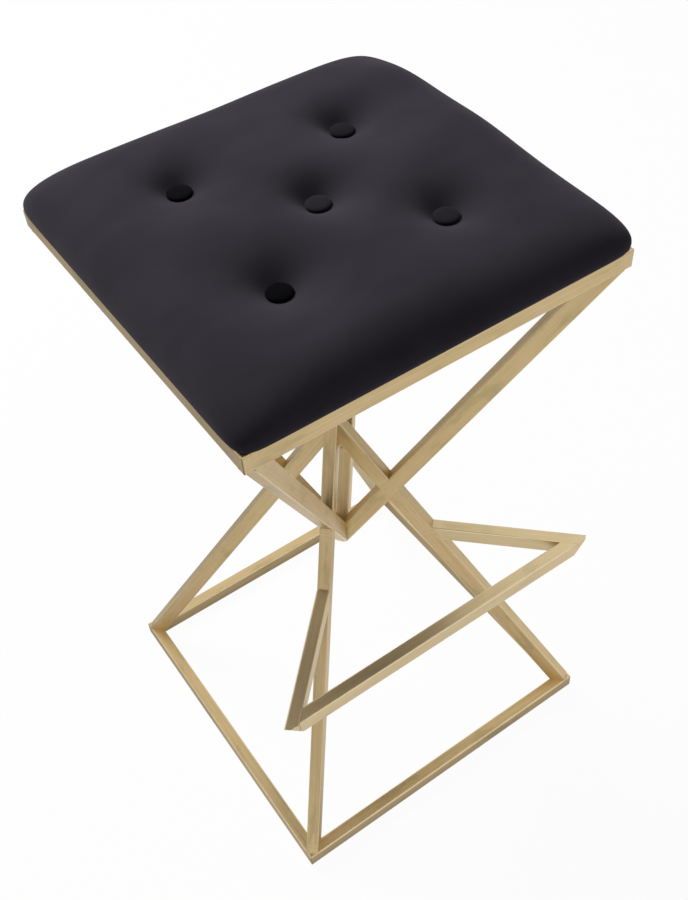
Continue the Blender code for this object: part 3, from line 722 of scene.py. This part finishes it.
def seat_pad():
    """Cover and foam as one closed piece: the stuffed top with its hem, then rings that follow the board's
    underside, edge and top back to the middle."""
    lines = pad_lines()
    p, q = np.meshgrid(lines, lines, indexing="ij")
    grid = pad_form(p, q)
    coarse = grid[::2, ::2]
    ring = np.maximum(np.abs(p), np.abs(q))[::2, ::2]
    sewn = (ring > 0.999) | (tuft_pulls(coarse[..., 0], coarse[..., 1]).max(-1) == 1)
    grid = grid + refined(stuffed(coarse, sewn))
    count = len(grid)
    points = grid.reshape(-1, 3)
    faces = grid_faces(count, count)[:, ::-1]
    order = np.arange(count * count).reshape(count, count)
    border = np.concatenate([order[0, :-1], order[:-1, -1], order[-1, :0:-1], order[:0:-1, 0]])
    hem_half = FOOT_HALF - HEM
    inside_half = FOOT_HALF - CLOTH
    hem_top = PAD_FOOT + CLOTH
    rings = [border]
    inside = (
        (hem_half, hem_top),
        (inside_half, hem_top),
        (inside_half, FOAM_FOOT),
        (hem_half, FOAM_FOOT),
        (LAST_RING, FOAM_FOOT),
    )
    flat = points[border] / hem_half
    for half, height in inside:
        rings.append(np.arange(len(border)) + len(points))
        points = np.concatenate([points, flat * (half, half, 0) + (0, 0, height)])
    under = [np.stack([a, np.roll(a, -1), np.roll(b, -1), b], -1) for a, b in zip(rings, rings[1:])]
    points = np.concatenate([points, [[0, 0, FOAM_FOOT]]])
    last = rings[-1]
    cap = np.stack([last, np.roll(last, -1), np.full(len(last), len(points) - 1)], -1)
    return surface("seat_pad", points, [*faces, *np.concatenate(under), *cap])


# Buttons and dust sheet

BUTTON_HALF = 0.0125  # radius at the rim
BUTTON_MIDDLE = 0.0040  # height of the rim
BUTTON_DOME = 0.0032  # from the rim up to the face
BUTTON_TURN = 0.90  # how much of the half turn from the face to the middle of the back the section makes
BUTTON_FOLDS = 15
BUTTON_FOLD = 0.014  # depth of a fold, as a share of the radius
DUST_CUT = 0.049  # how far the corners are cut off
DUST_LIFT = 0.0003  # height over the solid's underside
DUST_SAG = 0.0002
DUST_WAVE = 60  # radians of the sag's cosine in a metre


def button(name, material):
    """Covered button, turned about its own middle: a nearly flat face, a rounded rim and a drawn-in
    underside, as a superellipse in section, with the cloth gathered in shallow folds below the rim."""
    x0, y0, z0 = tuft_place(name)
    angle = np.linspace(0, 2 * np.pi, 65)[:-1]
    t = np.linspace(0, 1, 25)[1:]
    turn = t * np.pi * BUTTON_TURN
    r = BUTTON_HALF * np.sin(turn) ** 0.55
    h = BUTTON_MIDDLE + BUTTON_DOME * np.sign(np.cos(turn)) * np.abs(np.cos(turn)) ** 0.8
    fold = 1 + BUTTON_FOLD * np.cos(BUTTON_FOLDS * angle)[None, :] * smoothstep(0.5, 0.8, t)[:, None]
    rr = r[:, None] * fold
    px = rr * np.cos(angle) + x0
    py = rr * np.sin(angle) + y0
    pz = np.broadcast_to(h[:, None] + z0, px.shape)
    rows = np.stack([px, py, pz], -1).reshape(-1, 3)
    points = np.concatenate([rows, [[x0, y0, z0 + BUTTON_MIDDLE + BUTTON_DOME], [x0, y0, rows[-1][2]]]])
    first = np.arange(len(angle))
    last = first + len(rows) - len(angle)
    face = np.stack([np.full(len(angle), len(rows)), first, np.roll(first, -1)], -1)
    back = np.stack([np.full(len(angle), len(rows) + 1), np.roll(last, -1), last], -1)
    side = grid_faces(len(t), len(angle), wrap=True)[:, ::-1]
    made = surface("button_cover_" + name, points, [*side, *face, *back])
    made.data.materials.append(material)
    return made


def dust_sheet(material):
    """Flat cloth stapled under the board: a grid over an octagon, whose rows are shortened where the corners
    are cut off, with a slow sag of a fraction of a millimetre between its fixings."""
    low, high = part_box("dust_cover")
    half = high.x
    t = np.linspace(-1, 1, 41)
    u, v = np.meshgrid(t, t, indexing="ij")
    y = v * half
    x = u * (half - np.clip(np.abs(y) - (half - DUST_CUT), 0, None))
    z = low.z + DUST_LIFT - DUST_SAG * np.cos(x * DUST_WAVE) * np.cos(y * DUST_WAVE)
    made = surface("dust_sheet", np.stack([x, y, z], -1), grid_faces(len(t), len(t))[:, ::-1])
    made.data.materials.append(material)
    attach(made, BODY)
    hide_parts("dust_cover")


# Stage

FLOOR_HALF = 6.0
FLOOR_SPOT = (0.45, -0.75, 0)  # middle of a painted pool of light in the floor's glow that the metal mirrors
RAIL_LOW, RAIL_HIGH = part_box("base_rail_front")
RAIL_LINE = -(RAIL_LOW.y + RAIL_HIGH.y) / 2  # from the stool's middle to the middle of a base rail
FLOOR_SEEN = 0.96  # how much of the floor's white is its own light where the camera sees it
FLOOR_MIRRORED = 0.80  # and where the metal mirrors it
SKY_LIGHT = 0.17  # strength of the surroundings where they only light the stool


def pale_floor():
    """White floor for the camera. In the metal its glow is brightest in front of the stool to the right, a
    painted pool of light, and darker along the base rails, a painted shadow of the rails."""
    corners = FLOOR_HALF * np.array([[-1, -1, 0], [1, -1, 0], [1, 1, 0], [-1, 1, 0]], float)
    floor = surface("floor", corners, [[0, 1, 2, 3]], smooth=False)
    made, n, shader = new_material("pale_floor", roughness=0.9, specular_ior_level=0.1)
    shader.inputs["Base Color"].default_value = (0.80, 0.80, 0.80, 1)
    path = n.add("ShaderNodeLightPath")
    point = n.add("ShaderNodeTexCoord").outputs["Object"]
    lit = n.ramp(n.vector("DISTANCE", point, FLOOR_SPOT), 0.80, 1.60, 1.0, 0.42)
    spot = n.add("ShaderNodeSeparateXYZ")
    n.put(point, spot.inputs[0])
    square = n.math("MAXIMUM", n.math("ABSOLUTE", spot.outputs[0]), n.math("ABSOLUTE", spot.outputs[1]))
    from_rail = n.math("ABSOLUTE", n.math("SUBTRACT", square, RAIL_LINE))
    # Painted shadow of the base rails in the floor's glow, and a painted pool of light away from them
    bright = n.math("MULTIPLY", lit, n.ramp(from_rail, 0.012, 0.060, 0.54, 1.0))
    mirrored = n.math("MAXIMUM", path.outputs["Is Glossy Ray"], path.outputs["Is Transmission Ray"])
    seen = n.math("MULTIPLY", path.outputs["Is Camera Ray"], FLOOR_SEEN)
    glow = n.add("ShaderNodeEmission")
    n.put(n.math("MAXIMUM", path.outputs["Is Camera Ray"], bright), glow.inputs["Strength"])
    blend = n.add("ShaderNodeMixShader")
    n.put(n.math("MAXIMUM", seen, n.math("MULTIPLY", mirrored, FLOOR_MIRRORED)), blend.inputs["Fac"])
    n.put(shader.outputs[0], blend.inputs[1])
    n.put(glow.outputs[0], blend.inputs[2])
    n.put(blend.outputs[0], made.node_tree.nodes["Material Output"].inputs["Surface"])
    floor.data.materials.append(made)


def studio_light():
    """White surroundings for the camera, dimmer near the horizon in the metal, and two round lamps that the
    metal doesn't mirror."""
    world = bpy.data.worlds.new("studio")
    scene.world = world
    world.use_nodes = True
    w = Nodes(world.node_tree)
    back = world.node_tree.nodes["Background"]
    path = w.add("ShaderNodeLightPath")
    height = w.vector("DOT_PRODUCT", w.add("ShaderNodeTexCoord").outputs["Generated"], (0, 0, 1))
    mirrored = w.math("MAXIMUM", path.outputs["Is Glossy Ray"], path.outputs["Is Transmission Ray"])
    mirrored = w.math("MULTIPLY", mirrored, w.ramp(height, 0.05, 0.60, 0.62, 1.0))
    seen = w.math("MAXIMUM", path.outputs["Is Camera Ray"], mirrored)
    back.inputs["Color"].default_value = (1, 1, 1, 1)
    w.put(w.math("MAXIMUM", seen, SKY_LIGHT), back.inputs["Strength"])
    for label, place, target, size, energy in (
        ("key_light", (-0.50, 2.65, 3.5), (0, 0, 0.6), 2.1, 173),
        ("fill_light", (1.8, -1.4, 1.6), (0, 0, 0.4), 1.8, 3),
    ):
        data = bpy.data.lights.new(label, "AREA")
        data.shape = "DISK"
        data.size = size
        data.energy = energy
        lamp = new_object(label, data)
        lamp.location = place
        lamp.rotation_mode = "QUATERNION"
        lamp.rotation_quaternion = (Vector(target) - Vector(place)).to_track_quat("-Z", "Y")
        lamp.visible_glossy = False


# Assembly


def repaint(node, material):
    nodes[node].data.materials.clear()
    nodes[node].data.materials.append(material)


def finish_frame():
    group = brushed_tube_group()
    for node in TUBES:
        repaint(node, brass(node, group))


def main():
    photo_camera()
    pale_floor()
    studio_light()
    finish_frame()
    seams = weld_seams()
    seams.data.materials.append(weld_material())
    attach(seams, BODY)
    pile = pile_group()
    pad = seat_pad()
    pad.data.materials.append(velvet("velvet", pile, fibre_scale=2600.0, nap_scale=16.0))
    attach(pad, BODY)
    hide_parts("velvet_cover", "foam_pad")
    for name in TUFTS:
        # Painted shade of the button in its pit, partly also its parted pile
        depth = TUFT_SHAPES[name][4]
        cloth = velvet("button_velvet_" + name, pile, fibre_scale=3200.0, nap_scale=60.0, depth=depth)
        made = button(name, cloth)
        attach(made, BODY)
        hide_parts("button_" + name)
    repaint("seat_board", plywood_material())
    dust_sheet(dust_cloth_material())
    zinc = zinc_material()
    nylon = nylon_material()
    twine = twine_material()
    for node in nodes:
        if node.startswith(("corner_plate", "seat_screw")):
            repaint(node, zinc)
        if node.startswith("glide"):
            repaint(node, nylon)
        if node.startswith("tuft_twine"):
            repaint(node, twine)
    scene.view_settings.view_transform = "Standard"


main()
